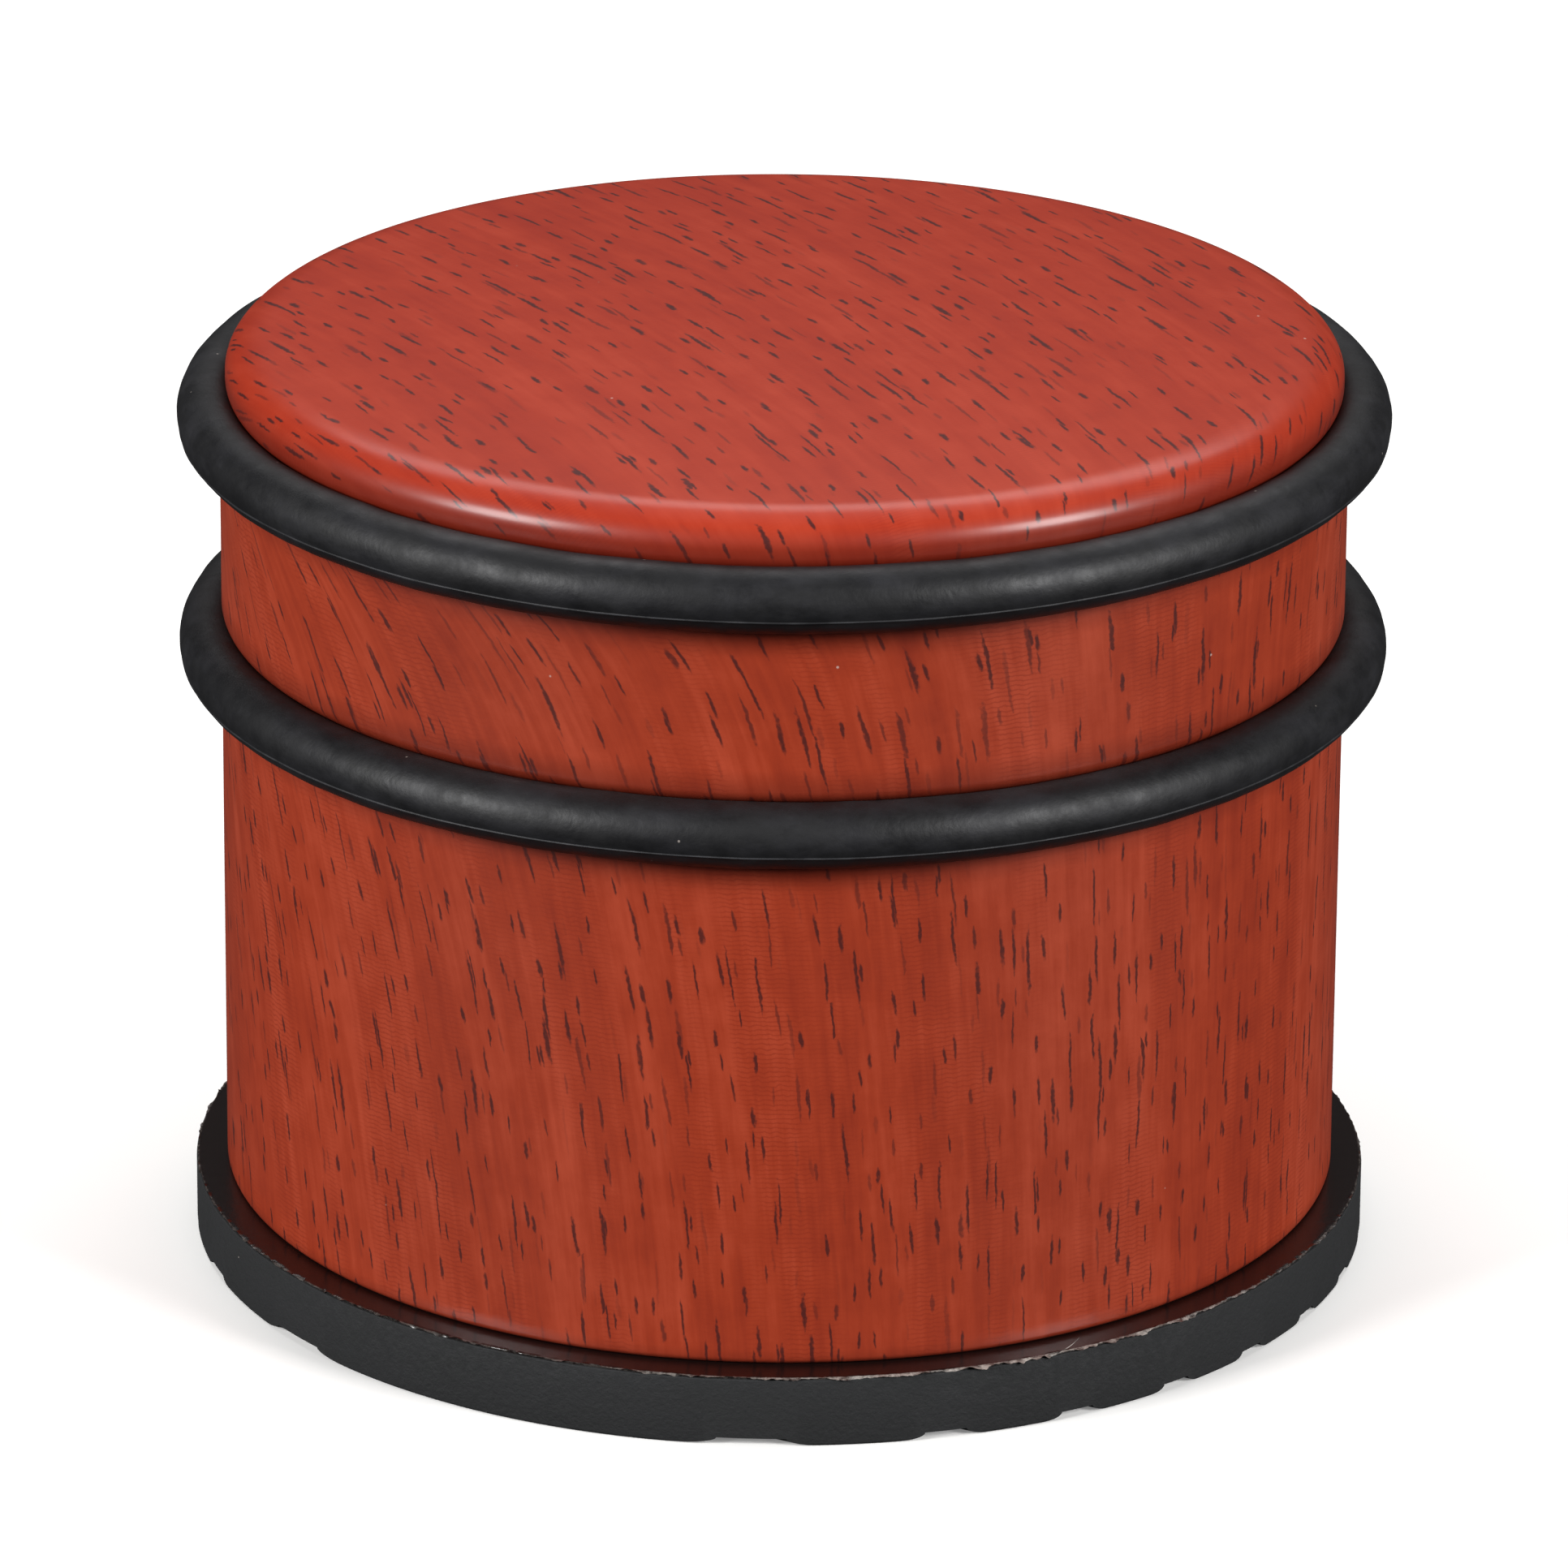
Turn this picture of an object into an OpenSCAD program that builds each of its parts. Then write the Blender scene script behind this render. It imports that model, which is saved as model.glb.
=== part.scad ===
// Round weighted door stop: a drawn steel can, filled with cement and closed by a pressed disc,
// with two rubber rings in rolled grooves and a ribbed rubber mat bonded underneath.
// It stands on the crests of the mat's ribs, at z = 0, with its axis on the Z axis.

/* [Can] */
// Outside diameter of the can's straight wall
body_d = 83.7; // [60:0.1:120]
// Height of the can, from its bottom rim to the middle of its top
can_h = 66; // [45:0.5:110]
// Thickness of the steel sheet
wall = 0.5; // [0.3:0.05:0.7]
// How much smaller in radius the section above the upper ring is
top_step = 0.45; // [0:0.05:1]
// Rise of the crowned top, from its edge to its middle
crown = 1.05; // [0.5:0.05:2]
// Radius of the rounded top edge
top_edge_r = 2.5; // [1.2:0.1:3.5]
// Least height of straight wall between the top edge and the upper groove's shoulder
straight_h = 0.3; // [0.1:0.05:1]
// Radius of the bottom rim, where the wall turns in under the closing disc
rim_r = 0.8; // [0.8:0.1:2]
// Width of the flat lip under the closing disc, inward of the rim's radius
lip_w = 2.5; // [1.5:0.1:5]

/* [Rings] */
// Thickness of the rubber rings
ring_d = 4.8; // [3.5:0.1:6]
// Depth of the rolled grooves, below the straight wall
groove_depth = 1.65; // [1:0.05:2]
// Clearance between a ring's flank and the side of its groove
ring_play = 0.1; // [0.05:0.05:0.3]
// Radius of the soft shoulders that lead into a groove
shoulder_r = 1.1; // [0.8:0.1:1.6]
// Distance from the middle of the top down to the upper ring's middle
upper_ring_drop = 6.8; // [5.5:0.1:15]
// Distance between the two rings' middles
ring_pitch = 17.8; // [12:0.1:25]

/* [Closing disc and ballast] */
// Thickness of the closing disc
disc_t = 0.8; // [0.5:0.05:1.5]
// Clearance between the closing disc's edge and the can
disc_play = 0.15; // [0.05:0.05:0.4]
// Gap that the cement leaves all round as it shrinks
ballast_gap = 0.2; // [0.1:0.05:0.5]

/* [Base mat] */
// How far the mat stands out past the can's wall
mat_overhang = 2.35; // [0.5:0.05:5]
// Thickness of the mat, ribs included
mat_t = 5.2; // [3:0.1:8]
// Thickness of the adhesive film between the mat and the can
film_t = 0.2; // [0.1:0.05:0.5]
// How far the film stops short of the mat's edge
film_margin = 0.15; // [0:0.05:2]
// Height of the ribs under the mat
rib_h = 0.6; // [0.4:0.05:1.5]
// Distance between the ribs' middles
rib_pitch = 8.1; // [6:0.1:12]
// Width of the channels between the ribs
channel_w = 2.7; // [1.5:0.1:4]
// Radius along each side of a rib's crest
rib_edge_r = 0.5; // [0.2:0.05:0.6]
// Offset of the middle channel from the mat's centre
rib_shift = 0.7; // [-4:0.1:4]
// Direction in which the ribs follow each other, counted from the X axis
rib_turn = 62; // [0:1:180]

/* [Hidden] */
$fn = 160;

// Past the edge of whatever a cut has to clear
over = 1;

// Lengths that come from a square root are kept to a whole micrometre, so that outlines which
// share an edge meet on exactly the same numbers
function whole_micron(x) = round(x * 1000) / 1000;

body_r = body_d / 2;
top_r = body_r - top_step;
mat_r = body_r + mat_overhang;

// Heights above the floor
film_z = mat_t;
rim_z = film_z + film_t;
top_z = rim_z + can_h;
upper_ring_z = top_z - upper_ring_drop;
lower_ring_z = upper_ring_z - ring_pitch;
disc_edge_z = rim_z + wall;
ballast_z = disc_edge_z + disc_t;

// A ring is stretched onto the bottom of its groove, and clear of the groove's sides
groove_floor_r = body_r - groove_depth;
ring_r = ring_d / 2;
ring_path_r = groove_floor_r + ring_r;
groove_r = ring_r + ring_play;
groove_path_r = groove_floor_r + groove_r;

// Rise from a groove's middle to where its shoulder meets a wall of radius r
function shoulder_rise(r) =
    whole_micron(sqrt(pow(groove_r + shoulder_r, 2) - pow(groove_path_r - r + shoulder_r, 2)));

// The rounded top edge takes no more height than the wall above the upper groove has
edge_r = min(top_edge_r, upper_ring_drop - crown - shoulder_rise(top_r) - straight_h);
edge_path_r = top_r - edge_r;
edge_z = top_z - crown - edge_r;

// The crown is part of a sphere that runs smoothly into the rounded edge
crown_r = whole_micron((pow(edge_path_r, 2) + pow(crown, 2)) / (2 * crown) + edge_r);
crown_z = top_z - crown_r;

// Half of the can's outline, set in from its outer face; it is solid from the axis outward
module can_outline(inset, floor_z, corner_r) {
    difference() {
        union() {
            wall_outline(inset, floor_z, corner_r);
            top_outline(inset);
        }
        groove_outline(upper_ring_z, body_r, top_r, inset);
        groove_outline(lower_ring_z, body_r, body_r, inset);
    }
}

module wall_outline(inset, floor_z, corner_r) {
    outer = body_r - inset;
    translate([0, floor_z + corner_r]) square([outer, upper_ring_z - floor_z - corner_r]);
    if (corner_r > 0) {
        translate([0, floor_z]) square([outer - corner_r, corner_r]);
        translate([outer - corner_r, floor_z + corner_r]) lower_corner(corner_r);
    }
}

// The lower outer quarter of a round, with its centre at the origin
module lower_corner(r) {
    intersection() {
        circle(r);
        translate([0, -r]) square(r);
    }
}

module top_outline(inset) {
    // The crown gives way to the rounded edge on the line from its centre through the edge's centre
    reach = (crown_r + over) / (crown_r - edge_r);
    seam = [edge_path_r * reach, crown_z + (edge_z - crown_z) * reach];
    translate([0, upper_ring_z]) square([top_r - inset, edge_z - upper_ring_z]);
    intersection() {
        translate([0, crown_z]) circle(crown_r - inset);
        polygon([[0, edge_z], [edge_path_r, edge_z], seam, [0, seam.y]]);
    }
    intersection() {
        translate([edge_path_r, edge_z]) circle(edge_r - inset);
        polygon([[edge_path_r, edge_z], [top_r + over, edge_z], [top_r + over, seam.y], seam]);
    }
}

// What a groove takes out: its round floor, and the throat between its two soft shoulders
module groove_outline(z, lower_r, upper_r, inset) {
    lower_rise = shoulder_rise(lower_r);
    upper_rise = shoulder_rise(upper_r);
    lower_shoulder = [lower_r - shoulder_r, z - lower_rise];
    upper_shoulder = [upper_r - shoulder_r, z + upper_rise];
    mouth_r = groove_path_r + over;
    difference() {
        polygon([
            [groove_path_r, z], upper_shoulder, [mouth_r, z + upper_rise],
            [mouth_r, z - lower_rise], lower_shoulder
        ]);
        translate(lower_shoulder) circle(shoulder_r - inset);
        translate(upper_shoulder) circle(shoulder_r - inset);
    }
    translate([groove_path_r, z]) circle(groove_r + inset);
}

// The can is drawn in one piece, and its rim is rolled in under the closing disc
module shell() {
    color("#9c412d")
    rotate_extrude() difference() {
        can_outline(0, rim_z, rim_r);
        can_outline(wall, disc_edge_z, rim_r - wall);
        translate([0, rim_z - over]) square([body_r - rim_r - lip_w, wall + 2 * over]);
    }
}

module rubber_ring(z) {
    color("#26262a")
    rotate_extrude() translate([ring_path_r, z]) circle(ring_r);
}

module upper_ring() {
    rubber_ring(upper_ring_z);
}

module lower_ring() {
    rubber_ring(lower_ring_z);
}

// Cement cast inside the can, so it follows the grooves from within, down to the closing disc
module ballast_core() {
    inset = wall + ballast_gap;
    color("#a8a49b")
    rotate_extrude() difference() {
        can_outline(inset, rim_z + inset, max(rim_r - inset, 0));
        translate([0, rim_z]) square([body_r, ballast_z - rim_z]);
    }
}

// Pressed disc: its edge is held above the lip, and its middle is set down flush with the rim
module closing_disc() {
    panel_r = body_r - rim_r - lip_w - disc_play;
    disc_r = body_r - wall - disc_play;
    corner_r = rim_r - wall;
    color("#b4b8bb")
    rotate_extrude() {
        translate([0, rim_z]) square([panel_r, disc_t]);
        intersection() {
            translate([panel_r - disc_t, disc_edge_z]) square([disc_r, disc_t]);
            union() {
                translate([0, disc_edge_z]) square([disc_r - corner_r, corner_r]);
                translate([0, disc_edge_z + corner_r]) square([disc_r, disc_t]);
                translate([disc_r - corner_r, disc_edge_z + corner_r]) lower_corner(corner_r);
            }
        }
    }
}

module adhesive_film() {
    color("#3a2622")
    translate([0, 0, film_z]) cylinder(h = film_t, r = mat_r - film_margin);
}

// One channel between two ribs, with the ribs' rounded crests left standing on both sides
module channel() {
    half_mouth = channel_w / 2 + rib_edge_r;
    rotate([90, 0, 0]) linear_extrude(2 * (mat_r + over), center = true) {
        translate([-channel_w / 2, -over]) square([channel_w, rib_h + over]);
        difference() {
            translate([-half_mouth, -over]) square([2 * half_mouth, rib_edge_r + over]);
            for (side = [-1, 1]) translate([side * half_mouth, rib_edge_r]) circle(rib_edge_r);
        }
    }
}

module base_mat() {
    channels_each_way = ceil((mat_r + abs(rib_shift)) / rib_pitch);
    color("#2c2d30")
    difference() {
        cylinder(h = mat_t, r = mat_r);
        rotate([0, 0, rib_turn])
            for (i = [-channels_each_way : channels_each_way])
                translate([rib_shift + i * rib_pitch, 0, 0]) channel();
    }
}

shell();
upper_ring();
lower_ring();
ballast_core();
closing_disc();
adhesive_film();
base_mat();
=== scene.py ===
"""Round weighted door stop: the looks of its printed can, rubber rings, ribbed mat and torn film."""
from functools import partial
from math import asin, atan2, cos, degrees, e, hypot, pi, radians, sin, sqrt

import bpy
import numpy as np
from mathutils import Matrix, Vector


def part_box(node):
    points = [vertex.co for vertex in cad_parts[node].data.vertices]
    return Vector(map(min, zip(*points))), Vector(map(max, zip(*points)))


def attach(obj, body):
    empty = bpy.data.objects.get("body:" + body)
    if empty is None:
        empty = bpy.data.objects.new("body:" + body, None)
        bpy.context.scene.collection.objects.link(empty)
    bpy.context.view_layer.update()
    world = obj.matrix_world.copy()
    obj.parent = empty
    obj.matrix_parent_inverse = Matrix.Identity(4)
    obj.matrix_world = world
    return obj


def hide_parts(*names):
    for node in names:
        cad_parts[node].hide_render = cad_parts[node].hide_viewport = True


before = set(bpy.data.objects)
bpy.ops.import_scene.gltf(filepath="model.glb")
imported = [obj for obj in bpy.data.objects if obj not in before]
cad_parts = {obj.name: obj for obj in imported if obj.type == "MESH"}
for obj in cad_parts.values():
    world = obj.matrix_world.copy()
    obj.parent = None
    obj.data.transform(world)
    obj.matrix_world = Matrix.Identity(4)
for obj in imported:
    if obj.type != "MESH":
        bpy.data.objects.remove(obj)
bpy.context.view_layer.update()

bl_info = {
    "name": "Printed Door Stop",
    "version": (1, 0, 0),
    "blender": (4, 5, 0),
    "location": "View3D > Sidebar > Door Stop",
    "description": "Makes a weighted door stop with a printed can, rubber rings and a ribbed mat",
    "category": "Object",
}

MM = 0.001
BODY = "root"

# Points closer than this are welded, or left out of an outline
WELD = 0.5e-6
SAME_POINT = 1e-7
# Widest gap between two points along a straight part of the can's outline
OUTLINE_STEP = 1.3 * MM
# A noise stays within about a quarter of its middle, so this brings it to a reach of one
NOISE_SPREAD = 4.0
IOR_LACQUER = 1.5
IOR_RUBBER = 1.5
IOR_ADHESIVE = 1.48
# Sharpest bend, in degrees, that is still shaded as a curve
CAN_CREASE = 40
RING_CREASE = 38
MAT_CREASE = 28
FILM_CREASE = 60
# For each kind of Mix node: the number of its first input and of its result
MIX_SOCKETS = {"FLOAT": (2, 0), "VECTOR": (4, 1), "RGBA": (6, 2)}

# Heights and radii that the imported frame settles
SHELL_LOW, SHELL_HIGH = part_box("shell")
UPPER_LOW, UPPER_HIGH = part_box("upper_ring")
LOWER_LOW, LOWER_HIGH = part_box("lower_ring")
_, MAT_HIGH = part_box("base_mat")
FILM_LOW, FILM_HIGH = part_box("adhesive_film")
RIM_Z = SHELL_LOW.z
TOP_Z = SHELL_HIGH.z
BODY_R = SHELL_HIGH.x
RING_R = (UPPER_HIGH.z - UPPER_LOW.z) / 2
RING_PATH_R = UPPER_HIGH.x - RING_R
UPPER_RING_Z = (UPPER_HIGH.z + UPPER_LOW.z) / 2
LOWER_RING_Z = (LOWER_HIGH.z + LOWER_LOW.z) / 2
MAT_R = MAT_HIGH.x
MAT_TOP_Z = MAT_HIGH.z
FILM_R = FILM_HIGH.x
FILM_TOP_Z = FILM_HIGH.z


def linear_colour(code, alpha=1.0):
    """A linear RGBA colour from an sRGB hex code."""
    channels = [int(code[i:i + 2], 16) / 255 for i in (1, 3, 5)]
    return [c / 12.92 if c <= 0.04045 else ((c + 0.055) / 1.055) ** 2.4 for c in channels] + [alpha]


def length(name, default_mm, text):
    """A property for a real length, given in millimetres and kept in metres."""
    return bpy.props.FloatProperty(
        name=name, description=text, default=default_mm * MM, subtype="DISTANCE", unit="LENGTH")


def turn(name, default_deg, text):
    """A property for an angle, given in degrees."""
    return bpy.props.FloatProperty(
        name=name, description=text, default=radians(default_deg), subtype="ANGLE", unit="ROTATION")


def colour(name, code, text):
    """A property for a finish colour, given as an sRGB hex code."""
    return bpy.props.FloatVectorProperty(
        name=name, description=text, default=linear_colour(code), size=4, subtype="COLOR",
        min=0.0, max=1.0)


class CanSizes(bpy.types.PropertyGroup):
    wall: length("Wall", 0.5, "Thickness of the drawn steel sheet")
    top_step: length("Top step", 0.45, "How much smaller in radius the section above the upper ring is")
    crown: length("Crown", 1.05, "Rise of the top from its edge to its middle")
    top_edge_r: length("Top edge radius", 2.5, "Height of the rounded top edge")
    top_edge_run: length("Top edge run", 3.4, "How far in from the wall the top edge's rounding begins")
    rim_r: length("Rim radius", 0.55, "Radius where the wall turns in at the foot")
    lip_w: length("Lip width", 2.5, "Flat lip under the closing disc")
    shoulder_r: length("Shoulder radius", 1.1, "Soft shoulders that lead into each groove")
    ring_play: length("Ring play", 0.1, "Clearance between a ring's flank and its groove")
    waviness: length("Waviness", 0.012, "How far the drawn sheet strays from true")
    wave_size: length("Wave size", 22, "Distance over which the sheet strays")
    segments: bpy.props.IntProperty(name="Segments", description="Steps round the can", default=360)


class RingSizes(bpy.types.PropertyGroup):
    flash_turn: turn("Flash line", -23, "Where the mould's parting line lies, below the outer equator")
    flash_h: length("Flash height", 0.07, "How far the parting line stands out")
    flash_w: length("Flash width", 0.07, "Half width of the parting line")
    lump_h: length("Lump height", 0.055, "How uneven the moulded rubber is")
    lump_size: length("Lump size", 5.5, "Length of the unevenness")
    segments: bpy.props.IntProperty(name="Segments", description="Steps round a ring", default=420)


class MatSizes(bpy.types.PropertyGroup):
    rib_h: length("Rib height", 0.6, "Depth of the channels between the ribs")
    rib_pitch: length("Rib pitch", 8.1, "Distance between the ribs' middles")
    channel_w: length("Channel width", 2.2, "Width of a channel at its root")
    rib_round: length("Rib rounding", 1.8, "Width over which a rib's side rolls into its crest")
    rib_shift: length("Rib shift", 0.7, "Offset of the middle channel from the mat's centre")
    rib_turn: turn("Rib direction", 62, "Direction in which the ribs follow each other")
    edge_r: length("Edge radius", 0.25, "Wear on the mat's lower edge")
    segments: bpy.props.IntProperty(name="Segments", description="Steps round the mat", default=360)


class FilmSizes(bpy.types.PropertyGroup):
    burr_w: length("Burr width", 0.26, "Half width of the torn edge where it is least ragged")
    burr_t: length("Burr thickness", 0.03, "Half thickness of the torn edge")
    lip_rise: length("Lip rise", 0.9, "How far the torn edge curls up and down")
    segments: bpy.props.IntProperty(name="Segments", description="Steps round the film", default=2200)
    torn_w: length("Torn width", 0.9, "Half width of the torn edge where it is most ragged")
    torn_turn: turn("Torn place", -66, "Where round the mat the film is most torn, from the X axis")
    whisker_l: length("Whisker length", 2.1, "Length of the sliver of film that stands up")
    whisker_r: length("Whisker radius", 0.045, "Radius of that sliver")


class PrintSizes(bpy.types.PropertyGroup):
    top_grain: turn("Grain on the top", -62, "Direction of the printed grain across the top")
    top_curve: bpy.props.FloatProperty(
        name="Grain curve", description="How fast that direction turns, in radians per mm", default=0.003)
    upright: turn("Upright place", 45, "Where round the side the grain runs straight down")
    lean: turn("Lean", 38.7, "How far the side's grain leans where it leans most")
    lean_twice: turn("Second lean", -7.4, "Correction that repeats twice round the side")
    lean_depth: length("Lean depth", 13, "Depth below the top at which the lean was set")
    settle: length("Settling", 14, "Depth over which the grain straightens")
    shear: bpy.props.FloatProperty(
        name="Shear", description="How strongly the lean shifts the grain", default=1.15)
    pore_w: length("Pore width", 0.165, "Half width of a printed pore")
    pore_s: length("Short pore length", 0.72, "Half length of the shortest printed pores")
    pore_l: length("Pore length", 2.7, "Half length of the longest printed pores")
    chatter: length("Chatter pitch", 0.36, "Distance between the fine cross lines in the dark bands")


class Finishes(bpy.types.PropertyGroup):
    print_light: colour("Print, light", "#A74128", "Light bands of the printed wood")
    print_mid: colour("Print, middle", "#95331A", "Middle tone of the printed wood")
    print_dark: colour("Print, dark", "#822814", "Dark bands of the printed wood")
    # Painted shade: a deeper red mixed into the top to offset the sheen the lights leave there
    painted_top_shade: colour("Print, deep", "#981600", "Deeper tone mixed into the top")
    # Painted shade: the dark tone laid next to the rings and at the foot
    painted_shade_tone: colour("Print, drawn", "#4A1006", "Print where the sheet is drawn in")
    pore: colour("Pores", "#3A1616", "Ink of the printed pores")
    ring: colour("Ring rubber", "#101012", "Moulded ring rubber")
    ring_worn: colour("Ring smears", "#1E1E21", "Dusty smears on the ring rubber")
    flash: colour("Flash line", "#5A5A5E", "The mould's parting line")
    mat: colour("Mat rubber", "#171819", "Charcoal mat rubber")
    film: colour("Bonding film", "#130A09", "Dark bonding film")
    torn: colour("Torn film", "#968E88", "Stretched, torn edge of the film")
    cement: colour("Cement", "#A29D93", "Cast cement")
    sand: colour("Sand", "#6F6B63", "Sand in the cement")
    air_hole: colour("Air holes", "#4A4742", "Small air holes in the cement")
    zinc: colour("Zinc", "#B9BCBE", "Zinc plating on the closing disc")
    zinc_crystal: colour("Zinc crystals", "#8D9194", "Darker crystals in the zinc plating")
    lint: colour("Dust", "#C9BDB4", "Specks of dust and lint")
    floor: colour("Floor", "#E3E2E0", "Pale floor")


class StageSizes(bpy.types.PropertyGroup):
    elevation: turn("Camera elevation", 20.75, "How far above the horizon the camera stands")
    roll: turn("Camera roll", 0.42, "How far the camera is turned about its view")
    distance: length("Camera distance", 837, "From the camera to the point that it looks at")
    aim_h: length("Aim height", 34.6, "Height of the point that the camera looks at")
    shift: bpy.props.FloatProperty(
        name="Camera shift", description="Sideways shift as a share of the frame", default=0.0014)
    lens: bpy.props.FloatProperty(
        name="Focal length", description="Focal length on a 36 mm sensor", default=256.0)
    floor_w: length("Floor width", 4000, "Width of the pale floor")
    floor_glow: bpy.props.FloatProperty(
        name="Floor glow", description="How strongly the pale floor is lit from below", default=0.2)
    room_glow: bpy.props.FloatProperty(
        name="Room glow", description="Strength of the plain white room round the stage", default=0.04)


class DoorStop(bpy.types.PropertyGroup):
    can: bpy.props.PointerProperty(type=CanSizes)
    rings: bpy.props.PointerProperty(type=RingSizes)
    mat: bpy.props.PointerProperty(type=MatSizes)
    film: bpy.props.PointerProperty(type=FilmSizes)
    grain: bpy.props.PointerProperty(type=PrintSizes)
    finishes: bpy.props.PointerProperty(type=Finishes)
    stage: bpy.props.PointerProperty(type=StageSizes)


# ---------------------------------------------------------------- node trees and meshes

def fill(node, inputs):
    """Sets a node's inputs, each from a plain value or from another node's socket."""
    for name, value in inputs.items():
        if isinstance(value, bpy.types.NodeSocket):
            node.id_data.links.new(value, node.inputs[name])
        else:
            node.inputs[name].default_value = value


def add_node(tree, kind, settings=None, inputs=None):
    """Adds one node with its settings and its inputs."""
    node = tree.nodes.new(kind)
    for name, value in (settings or {}).items():
        setattr(node, name, value)
    fill(node, inputs or {})
    return node


def tree_of(values):
    """The node tree of the first socket among the values."""
    return next(value for value in values if isinstance(value, bpy.types.NodeSocket)).id_data


def calculate(operation, *values):
    """A Math node on sockets and plain numbers; its result socket."""
    settings = {"operation": operation}
    return add_node(tree_of(values), "ShaderNodeMath", settings, dict(enumerate(values))).outputs[0]


plus, minus, times, over, times_plus, larger, power = (
    partial(calculate, operation)
    for operation in ("ADD", "SUBTRACT", "MULTIPLY", "DIVIDE", "MULTIPLY_ADD", "MAXIMUM", "POWER"))


def off_axis(x, y):
    """How far a point is from the Z axis."""
    return calculate("SQRT", plus(times(x, x), times(y, y)))


def scaled(vector, factor):
    """A vector made factor times as long."""
    return add_node(vector.id_data, "ShaderNodeVectorMath", {"operation": "SCALE"},
                    {0: vector, "Scale": factor}).outputs[0]


def split(vector):
    """The X, Y and Z sockets of a vector."""
    return add_node(vector.id_data, "ShaderNodeSeparateXYZ", None, {0: vector}).outputs[:]


def joined(**parts):
    """A vector from X, Y and Z, each a socket or a number."""
    return add_node(tree_of(parts.values()), "ShaderNodeCombineXYZ", None, parts).outputs[0]


def noise(point, per_mm, detail=2.0, roughness=0.5):
    """Noise with features 1 / per_mm long; per_mm may give X, Y and Z apart."""
    if isinstance(per_mm, (int, float)):
        per_mm = (per_mm,) * 3
    stretched = add_node(point.id_data, "ShaderNodeVectorMath", {"operation": "MULTIPLY"},
                         {0: point, 1: per_mm}).outputs[0]
    return add_node(point.id_data, "ShaderNodeTexNoise", None, {
        "Vector": stretched, "Scale": 1.0, "Detail": detail, "Roughness": roughness}).outputs["Fac"]


def between(value, low, high, start=0.0, end=1.0, smooth=False):
    """Maps value from low..high to start..end, held at both ends."""
    kind = "SMOOTHSTEP" if smooth else "LINEAR"
    return add_node(value.id_data, "ShaderNodeMapRange", {"interpolation_type": kind}, {
        "Value": value, "From Min": low, "From Max": high, "To Min": start, "To Max": end}).outputs["Result"]


def open_group(name, sockets):
    """A new geometry tree with the given inputs; returns it and its inputs by name."""
    tree = bpy.data.node_groups.new(name, "GeometryNodeTree")
    tree.interface.new_socket("Geometry", in_out="OUTPUT", socket_type="NodeSocketGeometry")
    for label, kind in {"Geometry": "Geometry", "Path Radius": "Float", "Segments": "Int", **sockets,
                        "Material": "Material"}.items():
        tree.interface.new_socket(label, in_out="INPUT", socket_type="NodeSocket" + kind)
    return tree, tree.nodes.new("NodeGroupInput").outputs


def close_group(geometry, material):
    """Ends a tree: instances made real, the material set, the result sent out."""
    tree = geometry.id_data
    real = add_node(tree, "GeometryNodeRealizeInstances", None, {"Geometry": geometry})
    painted = add_node(tree, "GeometryNodeSetMaterial", None,
                       {"Geometry": real.outputs[0], "Material": material})
    add_node(tree, "NodeGroupOutput", None, {"Geometry": painted.outputs[0]})
    return tree


def sweep(given):
    """Sweeps the given outline round the Z axis and welds it where it meets the axis."""
    tree = given["Geometry"].id_data
    path = add_node(tree, "GeometryNodeCurvePrimitiveCircle", None,
                    {"Resolution": given["Segments"], "Radius": given["Path Radius"]})
    swept = add_node(tree, "GeometryNodeCurveToMesh", None,
                     {"Curve": path.outputs["Curve"], "Profile Curve": given["Geometry"]})
    return add_node(tree, "GeometryNodeMergeByDistance", None,
                    {"Geometry": swept.outputs[0], "Distance": WELD}).outputs[0]


def lifted(geometry, height):
    """Geometry raised by a height."""
    return add_node(geometry.id_data, "GeometryNodeTransform", None,
                    {"Geometry": geometry, "Translation": joined(Z=height)}).outputs[0]


def moved(geometry, offset):
    """Geometry with each of its points moved by its own offset."""
    return add_node(geometry.id_data, "GeometryNodeSetPosition", None,
                    {"Geometry": geometry, "Offset": offset}).outputs[0]


def run_tree(source, tree, values, name):
    """Runs a geometry tree on source and keeps the result as a plain mesh object called name."""
    modifier = source.modifiers.new("Shape", "NODES")
    modifier.node_group = tree
    for item in tree.interface.items_tree:
        if item.in_out == "INPUT" and item.name in values:
            modifier[item.identifier] = values[item.name]
    graph = bpy.context.evaluated_depsgraph_get()
    mesh = bpy.data.meshes.new_from_object(source.evaluated_get(graph), depsgraph=graph)
    bpy.data.objects.remove(source)
    mesh.name = name
    return place(mesh, name)


def place(data, name):
    """A new object at the origin for a mesh, curve or light."""
    piece = bpy.data.objects.new(name, data)
    bpy.context.scene.collection.objects.link(piece)
    return piece


def curve_object(name, points, closed=False):
    """A curve of straight steps through the points."""
    data = bpy.data.curves.new(name, "CURVE")
    data.dimensions = "3D"
    line = data.splines.new("POLY")
    line.points.add(len(points) - 1)
    for point, spot in zip(line.points, points):
        point.co = (*spot, 1.0)
    line.use_cyclic_u = closed
    return place(data, name)


def outline_object(points, path_r=0.0, closed=True):
    """An outline of (radius, height) points as a flat curve, ready to be swept round a path.

    A swept outline's X runs outward from the path and its Y runs down."""
    return curve_object("outline", [(r - path_r, -z, 0.0) for r, z in points], closed)


def arc(centre, radius, start_deg, end_deg, steps):
    """Points along an arc, both ends included; angles run from outward towards up."""
    angles = np.radians(np.linspace(start_deg, end_deg, steps + 1))
    return [(centre[0] + radius * cos(a), centre[1] + radius * sin(a)) for a in angles]


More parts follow.
